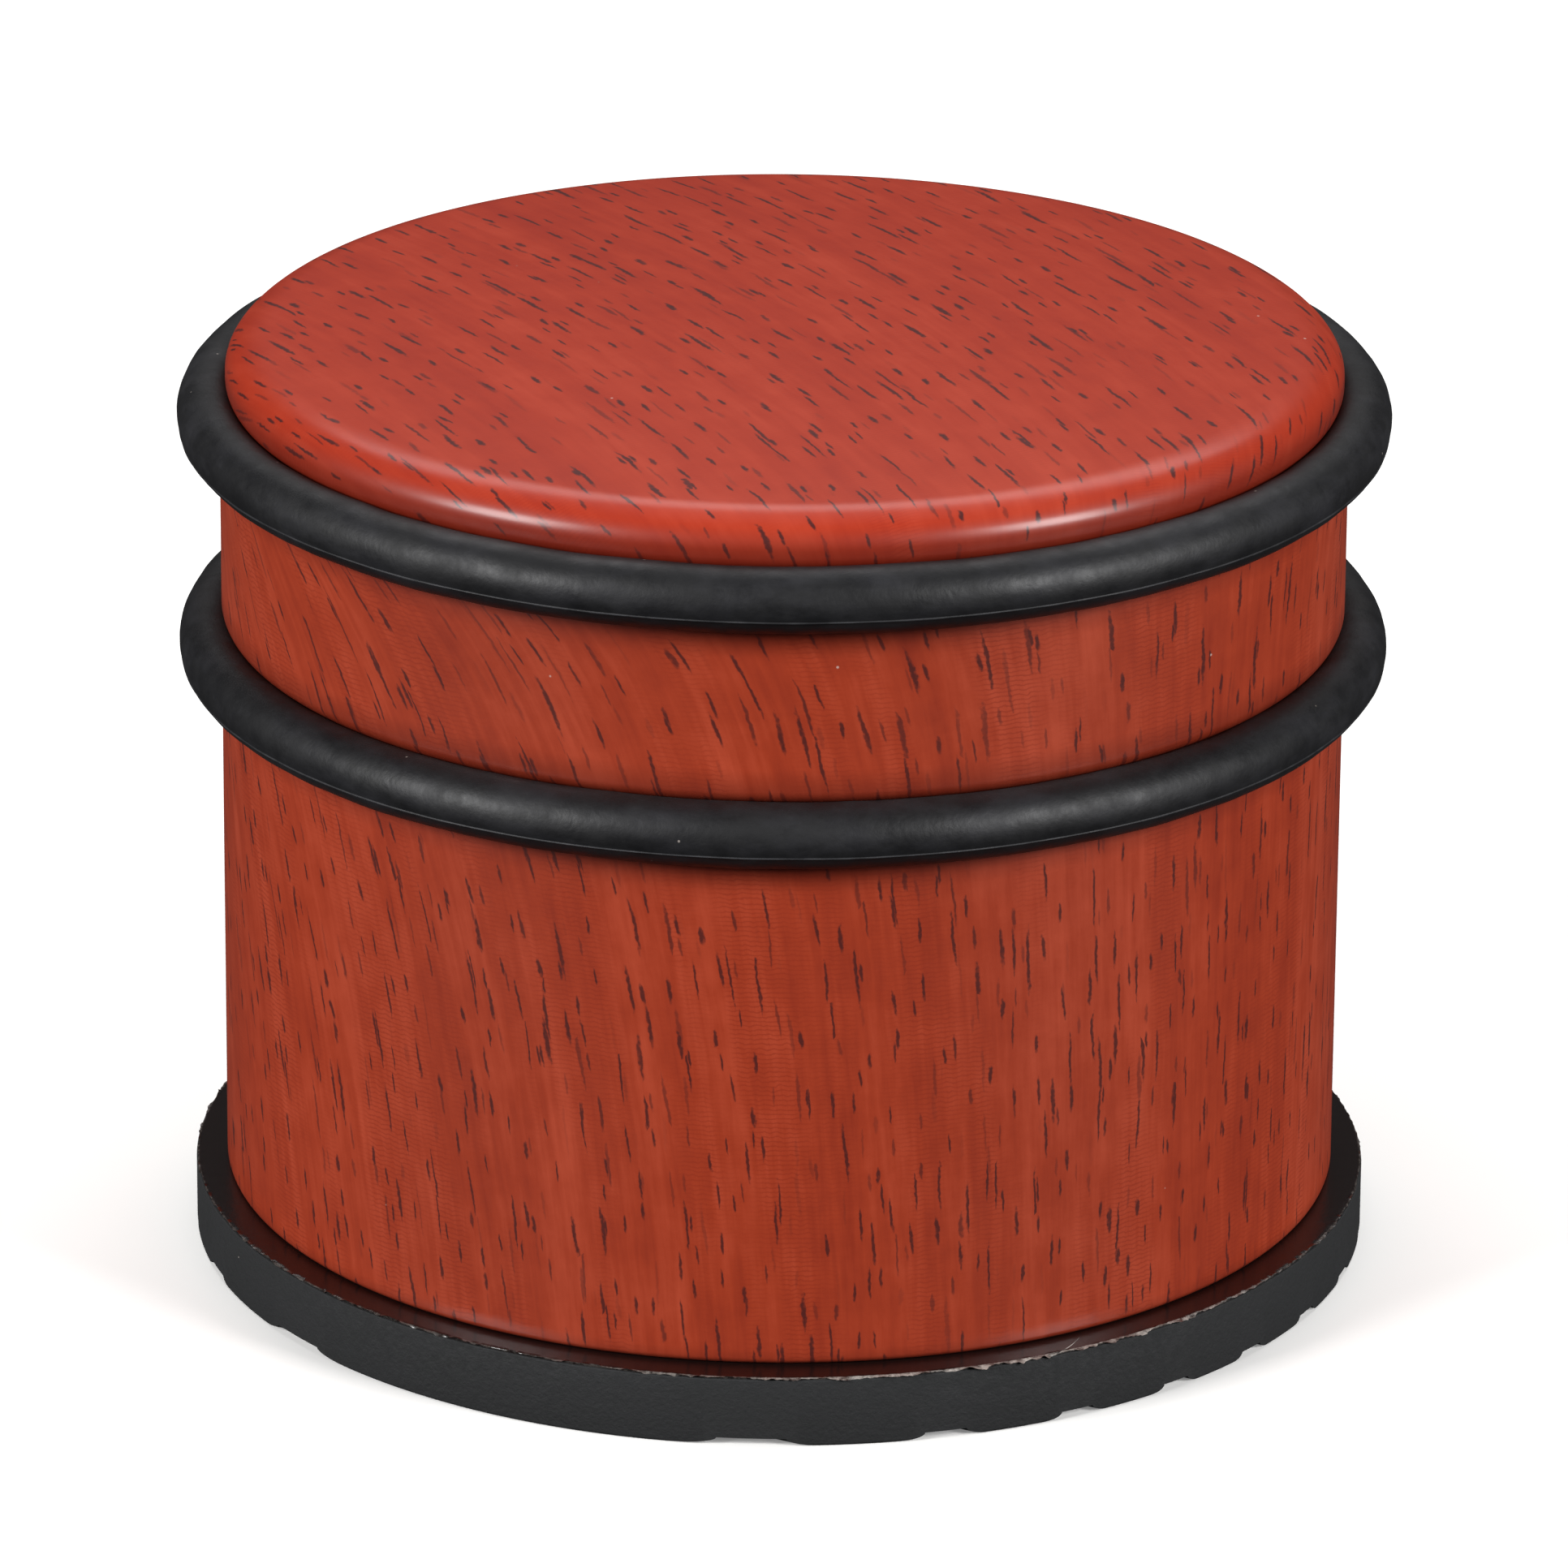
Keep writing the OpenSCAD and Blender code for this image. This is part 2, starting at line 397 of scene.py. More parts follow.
def join_outline(runs, step):
    """Runs of points joined by straight stretches, with points at most a step apart and none twice."""
    points = list(runs[0])
    for run in runs[1:]:
        start, end = np.array(points[-1]), np.array(run[0])
        count = max(int(hypot(*(end - start)) / step), 1)
        points += [tuple(start + (end - start) * i / count) for i in range(1, count)]
        points += run
    kept = [points[0]]
    for point in points[1:]:
        if hypot(point[0] - kept[-1][0], point[1] - kept[-1][1]) > SAME_POINT:
            kept.append(point)
    return kept


def hand_over(piece, crease_deg, slot, *nodes):
    """Smooths a finished piece up to a crease, rides it on the body and hides what it stands for."""
    piece.data.shade_smooth()
    piece.data.set_sharp_from_angle(angle=radians(crease_deg))
    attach(piece, BODY)
    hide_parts(*nodes)


def turned_tree():
    """Sweeps an outline round the Z axis, then lets the surface stray a little along its normals."""
    tree, given = open_group("Turned outline", {
        "Height": "Float", "Stray": "Float", "Stray Size": "Float", "Seed": "Float"})
    raised = lifted(sweep(given), given["Height"])
    waves = add_node(tree, "ShaderNodeTexNoise", {"noise_dimensions": "4D"}, {
        "W": given["Seed"], "Scale": over(1.0, given["Stray Size"]), "Detail": 2.0, "Roughness": 0.5})
    height = times(minus(waves.outputs["Fac"], 0.5), times(given["Stray"], NOISE_SPREAD))
    normal = add_node(tree, "GeometryNodeInputNormal").outputs[0]
    return close_group(moved(raised, scaled(normal, height)), given["Material"])


# ---------------------------------------------------------------- materials

def new_material(name):
    """An empty material with a Principled shader, that shader, and the surface point in millimetres."""
    material = bpy.data.materials.new(name)
    material.use_nodes = True
    tree = material.node_tree
    point = scaled(add_node(tree, "ShaderNodeTexCoord").outputs["Object"], 1 / MM)
    return material, tree.nodes["Principled BSDF"], point


def mix(kind, factor, first, second):
    """A Mix node on two numbers, vectors or colours; its result socket."""
    first_input, result = MIX_SOCKETS[kind]
    return add_node(factor.id_data, "ShaderNodeMix", {"data_type": kind}, {
        0: factor, first_input: first, first_input + 1: second}).outputs[result]


def blend(factor, first, second):
    """Mixes two colours, each a socket or an RGBA value."""
    return mix("RGBA", factor, first, second)


def cells_of(point, per_mm):
    """The sockets of a pattern of round cells, 1 / per_mm apart."""
    return add_node(point.id_data, "ShaderNodeTexVoronoi", None,
                    {"Vector": scaled(point, per_mm), "Scale": 1.0}).outputs


def specks(point, spacing_mm, radius_mm):
    """Sparse round specks, as a mask with soft edges."""
    reach = radius_mm / spacing_mm
    return between(cells_of(point, 1 / spacing_mm)["Distance"], reach, reach * 0.5)


def dusty(base, point, tones, spacing_mm, radius_mm, cover):
    """A colour with sparse specks of dust over it."""
    return blend(times(specks(point, spacing_mm, radius_mm), cover), base, tones.lint)


def bump(height, distance_mm):
    """A bump from a height of 0..1 that is distance_mm high."""
    return add_node(height.id_data, "ShaderNodeBump", None, {
        "Height": height, "Strength": 1.0, "Distance": distance_mm * MM}).outputs["Normal"]


def top_grain(x, y, z, sizes, can):
    """Across and along the grain on the top; over the rounded edge the print carries on downwards."""
    drop = larger(minus((TOP_Z - can.crown) / MM, z), 0.0)
    flat = scaled(joined(X=x, Y=y, Z=0.0), plus(over(drop, larger(off_axis(x, y), 1.0)), 1.0))
    run, side = cos(sizes.top_grain), sin(sizes.top_grain)
    along, across = (
        add_node(flat.id_data, "ShaderNodeVectorMath", {"operation": "DOT_PRODUCT"},
                 {0: flat, 1: direction}).outputs["Value"]
        for direction in ((run, side, 0.0), (-side, run, 0.0)))
    return plus(across, times(times(along, along), sizes.top_curve / 2)), along


def side_grain(x, y, z, sizes):
    """Across and down the grain on the side; it leans most near the top and straightens below."""
    down = minus(TOP_Z / MM, z)
    round_angle = calculate("ARCTAN2", x, times(y, -1.0))
    place_angle = minus(sizes.upright, round_angle)
    lean = plus(times(calculate("SINE", place_angle), sizes.lean),
                times(calculate("SINE", times(place_angle, 2.0)), sizes.lean_twice))
    settle_mm = sizes.settle / MM
    fall = over(minus(down, sizes.lean_depth / MM - settle_mm), settle_mm)
    run = times(calculate("LOGARITHM", fall, e), settle_mm * sizes.shear)
    return minus(times(round_angle, BODY_R / MM), times(calculate("TANGENT", lean), run)), down


def pore_layer(across, along, grain_point, cell, sizes, seed):
    """Printed pores: one soft dash in most cells of a stretched cell pattern, each of its own size."""
    rarely_long = 3.0
    narrowest, wider = 0.7, 0.6
    square_end = 2.6
    fray = 1.7
    pale_edge, dark_core = 2.15, 0.95
    unprinted, full_ink = 0.04, 0.5
    shortest_mm, longest_mm, width_mm = sizes.pore_s / MM, sizes.pore_l / MM, sizes.pore_w / MM
    cell_w, cell_l = cell
    cell_point = joined(X=plus(over(across, cell_w), seed), Y=plus(over(along, cell_l), seed))
    cells = add_node(across.id_data, "ShaderNodeTexVoronoi", {"voronoi_dimensions": "2D"},
                     {"Vector": cell_point, "Scale": 1.0})
    offset = add_node(across.id_data, "ShaderNodeVectorMath", {"operation": "SUBTRACT"},
                      {0: cell_point, 1: cells.outputs["Position"]}).outputs[0]
    off_x, off_y, _ = split(offset)
    long_part, wide_part, kept_part = split(cells.outputs["Color"])
    half_l = times_plus(power(long_part, rarely_long), longest_mm - shortest_mm, shortest_mm)
    half_w = times_plus(wide_part, width_mm * wider, width_mm * narrowest)
    reach_x = over(times(off_x, cell_w), half_w)
    reach_y = calculate("ABSOLUTE", over(times(off_y, cell_l), half_l))
    reach = plus(times(reach_x, reach_x), power(reach_y, square_end))
    frayed = times_plus(noise(grain_point, (4.0, 4.0, 3.0)), fray, reach)
    ink = between(frayed, pale_edge, dark_core, smooth=True)
    return times(ink, between(kept_part, unprinted, full_ink))


def wood_print(door_stop):
    """Mahogany grain printed on steel under clear lacquer: streaks, dark bands, pores and soft gloss."""
    sizes, tones = door_stop.grain, door_stop.finishes
    material, shader, point = new_material("Mahogany Print Under Lacquer")
    x, y, z = split(point)
    across_top, along_top = top_grain(x, y, z, sizes, door_stop.can)
    across_side, along_side = side_grain(x, y, z, sizes)
    on_top = calculate("GREATER_THAN", z, UPPER_RING_Z / MM)

    # The side's map is wrapped round a cylinder, so its streaks meet at the back without a seam
    body_mm = BODY_R / MM
    wrapped = over(across_side, body_mm)
    side_map = joined(X=times(calculate("SINE", wrapped), body_mm),
                      Y=times(calculate("COSINE", wrapped), body_mm), Z=along_side)
    apart = 12.0
    grain_point = mix("VECTOR", on_top, side_map, joined(X=across_top, Y=apart, Z=along_top))
    across = mix("FLOAT", on_top, across_side, across_top)
    along = mix("FLOAT", on_top, along_side, along_top)

    # Streaks from broad to fine, each many times longer than it is wide, and a cloudy mottle.
    # Each has its features per mm, detail, roughness, lowest used value and share of the tone
    tone = 0.0
    for where, per_mm, detail, rough, low, share in (
            (grain_point, (0.085, 0.085, 0.012), 2.0, 0.5, 0.33, 0.28),
            (grain_point, (0.36, 0.36, 0.03), 3.0, 0.5, 0.33, 0.22),
            (grain_point, (1.2, 1.2, 0.12), 3.0, 0.6, 0.3, 0.26),
            (point, 0.25, 4.0, 0.6, 0.3, 0.24)):
        tone = times_plus(between(noise(where, per_mm, detail, rough), low, 1 - low), share, tone)
    ground = blend(between(tone, 0.15, 0.5), tones.print_dark, tones.print_mid)
    ground = blend(between(tone, 0.5, 0.85), ground, tones.print_light)

    # Fine cross lines in the darker bands, drawn coarser than real so that they show
    waver, line_ink = 9.0, 0.55
    turns = times_plus(along, 2 * pi * MM / sizes.chatter,
                       times(noise(grain_point, (1.2, 1.2, 0.9)), waver))
    lines = between(calculate("SINE", turns), 0.2, 1.0, smooth=True)
    banded = between(noise(grain_point, (0.20, 0.20, 0.03)), 0.46, 0.62)
    ground = blend(times(times(lines, banded), line_ink), ground, tones.print_dark)

    # Painted shade: the top is coloured a shade deeper, so that it stays as red as the side under the sheen
    # the lights leave on it
    top_shade_share = 0.4
    ground = blend(times(on_top, top_shade_share), ground, tones.painted_top_shade)

    # Two layers of pores, so that long ones can pass close beside short ones
    slow_bend, quick_bend = 1.1, 0.22
    waved = times_plus(noise(grain_point, (0.5, 0.5, 0.16)), slow_bend,
                       times_plus(noise(grain_point, (1.5, 1.5, 2.0), 1.0), quick_bend, across))
    layers = [pore_layer(waved, along, grain_point, cell, sizes, seed)
              for cell, seed in (((2.5, 5.6), 3.7), ((2.2, 4.9), 41.3))]
    side_ink, more_on_top = 0.87, 0.08
    pores = times(larger(*layers), times_plus(on_top, more_on_top, side_ink))
    printed = blend(pores, ground, tones.pore)

    # Painted shade: the print is darkened next to each ring and at the foot, where shade falls
    from_rings = [calculate("ABSOLUTE", minus(z, height / MM)) for height in (UPPER_RING_Z, LOWER_RING_Z)]
    ring_mm, rim_mm = RING_R / MM, RIM_Z / MM
    darkest_ring, darkest_foot = 0.62, 0.5
    # Painted shade next to each ring, then painted shade at the foot
    drawn = between(calculate("MINIMUM", *from_rings), ring_mm + 0.1, ring_mm + 2.3, darkest_ring, 0.0)
    foot = between(z, rim_mm, rim_mm + 1.2, darkest_foot, 0.0)
    printed = blend(larger(drawn, foot), printed, tones.painted_shade_tone)

    # Satin ink under a coat of lacquer, whose blur spreads each light into a soft glow
    fill(shader, {
        "Base Color": dusty(printed, point, tones, 6.5, 0.13, 0.55),
        "Roughness": between(noise(point, 0.12, 4.0, 0.6), 0.3, 0.7, 0.50, 0.58),
        "Normal": bump(noise(point, 1.1), 0.02), "IOR": IOR_LACQUER, "Specular IOR Level": 0.2,
        "Coat Weight": 0.5, "Coat Roughness": 0.28, "Coat IOR": IOR_LACQUER})
    return material


def ring_rubber(door_stop):
    """Moulded black rubber: satin, smeared with dust, with a paler parting line on its lower half.

    Its angle round the ring's own section tells where that line runs."""
    tones = door_stop.finishes
    material, shader, point = new_material("Moulded Black Rubber")
    x, y, z = split(point)
    upper = calculate("GREATER_THAN", z, (UPPER_RING_Z + LOWER_RING_Z) / 2 / MM)
    middle_z = times_plus(upper, (UPPER_RING_Z - LOWER_RING_Z) / MM, LOWER_RING_Z / MM)
    around = calculate("ARCTAN2", minus(z, middle_z), minus(off_axis(x, y), RING_PATH_R / MM))
    away = calculate("ABSOLUTE", minus(around, door_stop.rings.flash_turn))
    half_line = door_stop.rings.flash_w / RING_R
    broken = between(noise(point, 0.5, 3.0), 0.4, 0.6, 0.25, 1.0)
    on_line = times(between(away, half_line * 1.8, half_line * 0.5), broken)
    smears = between(noise(point, (0.16, 0.16, 0.5), 4.0, 0.6), 0.45, 0.7)
    line_strength = 0.22
    lined = blend(times(on_line, line_strength), blend(smears, tones.ring, tones.ring_worn), tones.flash)
    skin = times_plus(noise(point, 3.2, 3.0, 0.6), 0.35, noise(point, 0.7))
    fill(shader, {
        "Base Color": dusty(lined, point, tones, 3.1, 0.11, 0.4),
        "Roughness": between(noise(point, 0.35, 5.0, 0.65), 0.35, 0.65, 0.46, 0.64),
        "Normal": bump(skin, 0.05), "IOR": IOR_RUBBER, "Specular IOR Level": 0.36})
    return material


def mat_rubber(door_stop):
    """Matte charcoal rubber: dry, evenly grained, a little dusty."""
    tones = door_stop.finishes
    material, shader, point = new_material("Matte Charcoal Rubber")
    cloudy = between(noise(point, (0.12, 0.12, 0.6), 4.0, 0.6), 0.35, 0.7, 0.0, 0.35)
    fill(shader, {
        "Base Color": dusty(blend(cloudy, tones.mat, tones.ring_worn), point, tones, 4.3, 0.10, 0.35),
        "Roughness": between(noise(point, 1.5, 3.0), 0.3, 0.7, 0.72, 0.86),
        "Normal": bump(noise(point, 3.0, 4.0, 0.65), 0.08), "IOR": IOR_RUBBER})
    return material


def bonding_film(door_stop):
    """Glossy dark bonding film that stretches pale where its edge is torn."""
    tones = door_stop.finishes
    material, shader, point = new_material("Dark Bonding Film")
    x, y, _ = split(point)
    film_mm = FILM_R / MM
    torn = between(times_plus(noise(point, 2.2, 3.0, 0.6), 0.22, off_axis(x, y)),
                   film_mm + 0.03, film_mm + 0.12)
    away = minus(calculate("ARCTAN2", y, x), door_stop.film.torn_turn)
    worst = between(calculate("COSINE", away), 0.72, 0.98, 0.22, 1.0)
    streaky = times(between(noise(point, 1.3, 4.0, 0.7), 0.40, 0.60, 0.10, 1.0), worst)
    pale = times(torn, streaky)
    fill(shader, {
        "Base Color": blend(pale, tones.film, tones.torn),
        "Roughness": between(pale, 0.0, 1.0, 0.24, 0.6),
        "Normal": bump(noise(point, 0.8, 3.0), 0.03), "IOR": IOR_ADHESIVE})
    return material


def cast_cement(door_stop):
    """Cast cement: pale, dull, with fine sand and small air holes."""
    tones = door_stop.finishes
    material, shader, point = new_material("Cast Cement")
    sand = between(noise(point, 1.8, 5.0, 0.7), 0.3, 0.7, 0.0, 0.4)
    holes = specks(point, 3.4, 0.5)
    fill(shader, {
        "Base Color": blend(holes, blend(sand, tones.cement, tones.sand), tones.air_hole),
        "Roughness": 0.9,
        "Normal": bump(minus(noise(point, 1.2, 5.0, 0.7), holes), 0.25)})
    return material


def zinc_steel(door_stop):
    """Zinc-plated sheet: cool grey metal with a faint pattern of zinc crystals."""
    tones = door_stop.finishes
    material, shader, point = new_material("Zinc-Plated Steel")
    shade, _, _ = split(cells_of(point, 0.16)["Color"])
    fill(shader, {
        "Base Color": blend(between(shade, 0.0, 1.0, 0.0, 0.4), tones.zinc, tones.zinc_crystal),
        "Roughness": between(shade, 0.0, 1.0, 0.32, 0.5), "Metallic": 1.0,
        "Normal": bump(noise(point, 0.8, 4.0), 0.03)})
    return material


# ---------------------------------------------------------------- pieces

def groove_run(can, ring_z, above_r, below_r):
    """The outer outline through one ring's groove, from the wall above it to the wall below it."""
    groove_r = RING_R + can.ring_play
    path_r = RING_PATH_R + can.ring_play
    reach = groove_r + can.shoulder_r

    def shoulder(r):
        return sqrt(reach ** 2 - (path_r - r + can.shoulder_r) ** 2)

    above = shoulder(above_r)
    below = shoulder(below_r)
    upper_turn = degrees(atan2(above, above_r - can.shoulder_r - path_r))
    lower_turn = degrees(atan2(below, below_r - can.shoulder_r - path_r))
    return (arc((above_r - can.shoulder_r, ring_z + above), can.shoulder_r, 0, upper_turn - 180, 8)
            + arc((path_r, ring_z), groove_r, upper_turn, 360 - lower_turn, 18)
            + arc((below_r - can.shoulder_r, ring_z - below), can.shoulder_r, 180 - lower_turn, 0, 8))


def can_outline(can):
    """The can's sheet, from the middle of its top, down outside, round the lip and up inside."""
    top_r = BODY_R - can.top_step
    edge_path_r = top_r - can.top_edge_r
    crown_r = (edge_path_r ** 2 + can.crown ** 2) / (2 * can.crown)
    edge_z = TOP_Z - can.crown
    path_z = edge_z - can.top_edge_r
    crown_z = TOP_Z - crown_r
    flat_turn = degrees(asin((top_r - can.top_edge_run) / crown_r))
    outside = arc((0.0, crown_z), crown_r, 90, 90 - flat_turn, 26)
    outside[0] = (0.0, TOP_Z)
    foot = (BODY_R - can.rim_r, RIM_Z + can.rim_r)
    lip_r = BODY_R - can.rim_r - can.lip_w
    inner_wall_r = top_r - can.wall
    return [
        outside,
        top_rounding(can, top_r, path_z, crown_z, crown_r),
        groove_run(can, UPPER_RING_Z, top_r, BODY_R),
        groove_run(can, LOWER_RING_Z, BODY_R, BODY_R),
        arc(foot, can.rim_r, 0, -90, 8),
        [(lip_r, RIM_Z), (lip_r, RIM_Z + can.wall)],
        arc(foot, can.rim_r - can.wall, -90, 0, 5),
        inner_groove(can, LOWER_RING_Z, BODY_R),
        inner_groove(can, UPPER_RING_Z, BODY_R, inner_wall_r),
        [(inner_wall_r, path_z)],
        arc((edge_path_r, path_z), can.top_edge_r - can.wall, 8, 90, 6),
        [(0.0, TOP_Z - can.wall)],
    ]


def top_rounding(can, top_r, path_z, crown_z, crown_r):
    """The top edge: it leaves the crown softly and tightens towards the wall."""
    start_r = top_r - can.top_edge_run
    start_z = crown_z + sqrt(crown_r ** 2 - start_r ** 2)
    slope = start_r / sqrt(crown_r ** 2 - start_r ** 2)
    points = []
    for a in np.linspace(pi / 2, 0, 19)[1:]:
        run = cos(a) * can.top_edge_run
        fall = (start_z - path_z) * (1 - sin(a))
        points.append((start_r + run, start_z - fall - slope * run * sin(a)))
    return points


def inner_groove(can, ring_z, below_r, above_r=None):
    """The inside of the sheet behind one groove, from below it to above it."""
    groove_r = RING_R + can.ring_play + can.wall
    path_r = RING_PATH_R + can.ring_play
    above_r = above_r or below_r - can.wall
    below_r = below_r - can.wall
    low_turn = degrees(asin(min((path_r - below_r) / groove_r, 1.0)))
    high_turn = degrees(asin(min((path_r - above_r) / groove_r, 1.0)))
    return arc((path_r, ring_z), groove_r, 270 - low_turn, 90 + high_turn, 12)


class DOORSTOP_OT_can(bpy.types.Operator):
    """Make the drawn steel can with its crowned top and two grooves, printed as wood"""
    bl_idname = "doorstop.can"
    bl_label = "Can"

    def execute(self, context):
        door_stop = context.scene.door_stop
        can = door_stop.can
        points = join_outline(can_outline(can), OUTLINE_STEP)
        values = {"Path Radius": BODY_R, "Height": 0.0, "Segments": can.segments,
                  "Stray": can.waviness, "Stray Size": can.wave_size, "Seed": 2.0,
                  "Material": wood_print(door_stop)}
        piece = run_tree(outline_object(points, BODY_R, False), turned_tree(), values, "printed_can")
        hand_over(piece, CAN_CREASE, "wood_print", "shell")
        return {"FINISHED"}


class DOORSTOP_OT_rings(bpy.types.Operator):
    """Make the two rubber rings with their parting line and slightly uneven skin"""
    bl_idname = "doorstop.rings"
    bl_label = "Rubber Rings"

    def execute(self, context):
        door_stop = context.scene.door_stop
        rings = door_stop.rings
        rubber = ring_rubber(door_stop)
        line_deg = degrees(rings.flash_turn)
        half_deg = degrees(rings.flash_w / RING_R)
        crest_deg = half_deg * 0.4
        middle = (RING_PATH_R, 0.0)
        points = arc(middle, RING_R, line_deg - half_deg, line_deg + half_deg - 360, 44)
        points += arc(middle, RING_R + rings.flash_h, line_deg + crest_deg - 360,
                      line_deg - crest_deg - 360, 1)
        for name, node, height, seed in (("upper_rubber_ring", "upper_ring", UPPER_RING_Z, 5.0),
                                         ("lower_rubber_ring", "lower_ring", LOWER_RING_Z, 9.0)):
            values = {"Path Radius": RING_PATH_R, "Height": height, "Segments": rings.segments,
                      "Stray": rings.lump_h, "Stray Size": rings.lump_size, "Seed": seed,
                      "Material": rubber}
            piece = run_tree(outline_object(points, RING_PATH_R), turned_tree(), values, name)
            hand_over(piece, RING_CREASE, "ring_rubber", node)
        return {"FINISHED"}


def channel_points(mat):
    """Half-rounded outline of the cutter that leaves one channel and the rolled sides of two ribs."""
    half = mat.channel_w / 2
    below = -1.0 * MM
    side = [(half + mat.rib_round * (1 - cos(a)), mat.rib_h * (1 - sin(a)))
            for a in np.linspace(0, pi / 2, 9)]
    right = side + [(half + mat.rib_round, below)]
    return right + [(-x, z) for x, z in reversed(right)]


def mat_tree():
    """Sweeps the mat's outline, then cuts a row of rounded channels out of its underside."""
    tree, given = open_group("Ribbed mat", {
        "Cutter": "Object", "Channels": "Int", "Pitch": "Float", "Shift": "Float", "Turn": "Float",
        "Reach": "Float"})
    cutter = add_node(tree, "GeometryNodeObjectInfo", None, {"Object": given["Cutter"]})
    line = add_node(tree, "GeometryNodeCurvePrimitiveLine", None, {
        "Start": joined(Y=times(given["Reach"], -1.0)), "End": joined(Y=given["Reach"])})
    bar = add_node(tree, "GeometryNodeCurveToMesh", None, {
        "Curve": line.outputs[0], "Profile Curve": cutter.outputs["Geometry"], "Fill Caps": True})
    half_row = times(given["Pitch"], over(minus(given["Channels"], 1.0), 2.0))
    row = add_node(tree, "GeometryNodeMeshLine", {"mode": "OFFSET"}, {
        "Count": given["Channels"], "Start Location": joined(X=minus(given["Shift"], half_row)),
        "Offset": joined(X=given["Pitch"])})
    bars = add_node(tree, "GeometryNodeInstanceOnPoints", None,
                    {"Points": row.outputs[0], "Instance": bar.outputs[0]})
    turned = add_node(tree, "GeometryNodeTransform", None,
                      {"Geometry": bars.outputs[0], "Rotation": joined(Z=given["Turn"])})
    loose = add_node(tree, "GeometryNodeRealizeInstances", None, {"Geometry": turned.outputs[0]})
    cut = add_node(tree, "GeometryNodeMeshBoolean", {"operation": "DIFFERENCE", "solver": "EXACT"},
                   {"Mesh 1": sweep(given), "Mesh 2": loose.outputs[0]})
    return close_group(cut.outputs[0], given["Material"])


class DOORSTOP_OT_mat(bpy.types.Operator):
    """Make the thick rubber mat with rounded channels across its underside"""
    bl_idname = "doorstop.mat"
    bl_label = "Base Mat"

    def execute(self, context):
        door_stop = context.scene.door_stop
        mat = door_stop.mat
        edge = (MAT_R - mat.edge_r, mat.edge_r)
        top_edge = (MAT_R - mat.edge_r / 2, MAT_TOP_Z - mat.edge_r / 2)
        runs = [[(0.0, MAT_TOP_Z), (MAT_R / 2, MAT_TOP_Z)], arc(top_edge, mat.edge_r / 2, 90, 0, 3),
                arc(edge, mat.edge_r, 0, -90, 5), [(MAT_R / 2, 0.0), (0.0, 0.0)]]
        points = join_outline(runs, MAT_R)
        cutter = outline_object(channel_points(mat), 0.0)
        channels = 2 * int(MAT_R / mat.rib_pitch) + 1
        values = {"Cutter": cutter, "Path Radius": MAT_R, "Segments": mat.segments,
                  "Channels": channels, "Pitch": mat.rib_pitch, "Shift": mat.rib_shift,
                  "Turn": mat.rib_turn, "Reach": MAT_R * 1.1, "Material": mat_rubber(door_stop)}
        piece = run_tree(outline_object(points, MAT_R, False), mat_tree(), values, "ribbed_mat")
        bpy.data.objects.remove(cutter)
        hand_over(piece, MAT_CREASE, "mat_rubber", "base_mat")
        return {"FINISHED"}


def film_tree():
    """Sweeps the film's outline, draws its thin lip in to a ragged width, and adds one sliver."""
    tree, given = open_group("Torn film", {
        "Height": "Float", "Burr Width": "Float", "Torn Width": "Float", "Torn Turn": "Float",
        "Lip Rise": "Float", "Sliver": "Object", "Sliver Radius": "Float"})
    flat = lifted(sweep(given), given["Height"])

    # The lip is 1 mm wide as swept; each point of it is drawn in to the torn edge's own width
    narrow = 12.0
    level = 0.52
    x, y, _ = split(add_node(tree, "GeometryNodeInputPosition").outputs[0])
    out = larger(minus(off_axis(x, y), given["Path Radius"]), 0.0)
    angle = minus(calculate("ARCTAN2", y, x), given["Torn Turn"])
    facing = power(larger(calculate("COSINE", angle), 0.0), narrow)
    outward = add_node(tree, "ShaderNodeVectorMath", {"operation": "NORMALIZE"},
                       {0: joined(X=x, Y=y, Z=0.0)}).outputs[0]
    rim_point = scaled(outward, given["Path Radius"])
    spread = times_plus(facing, minus(given["Torn Width"], given["Burr Width"]), given["Burr Width"])
    ragged = times(between(noise(rim_point, 420.0, 3.0, 0.6), 0.40, 0.64, 0.08, 1.0),
                   between(noise(rim_point, 1900.0, 3.0, 0.6), 0.3, 0.7, 0.3, 1.0))
    share = over(out, MM)
    move = minus(times(share, times(spread, ragged)), out)
    rise = times(times(share, minus(noise(rim_point, 700.0), level)), given["Lip Rise"])
    offset = add_node(tree, "ShaderNodeVectorMath", {"operation": "ADD"},
                      {0: scaled(outward, move), 1: joined(X=0.0, Y=0.0, Z=rise)}).outputs[0]
    torn = moved(flat, offset)

    sliver = add_node(tree, "GeometryNodeObjectInfo", None, {"Object": given["Sliver"]})
    bead = add_node(tree, "GeometryNodeCurvePrimitiveCircle", None,
                    {"Resolution": 8, "Radius": given["Sliver Radius"]})
    along = add_node(tree, "GeometryNodeSplineParameter").outputs["Factor"]
    blunt_end = 1.02
    thread = add_node(tree, "GeometryNodeCurveToMesh", None, {
        "Curve": sliver.outputs["Geometry"], "Profile Curve": bead.outputs["Curve"],
        "Scale": calculate("SQRT", minus(blunt_end, along)), "Fill Caps": True})
    both = add_node(tree, "GeometryNodeJoinGeometry")
    for part in (torn, thread.outputs[0]):
        fill(both, {0: part})
    return close_group(both.outputs[0], given["Material"])


def sliver_path(film):
    """A sliver of film that peels off the torn edge, follows it and lifts at its free end."""
    start_turn = film.torn_turn + radians(3.0)
    end_rise = film.whisker_l * 0.42
    lift_late = 1.6
    points = []
    for part in np.linspace(0.0, 1.0, 15):
        turn_at = start_turn + part * film.whisker_l / FILM_R
        r = FILM_R + film.burr_w * (0.2 + 0.9 * sin(pi * part * 0.8))
        points.append((r * cos(turn_at), r * sin(turn_at), FILM_TOP_Z + end_rise * part ** lift_late))
    return points


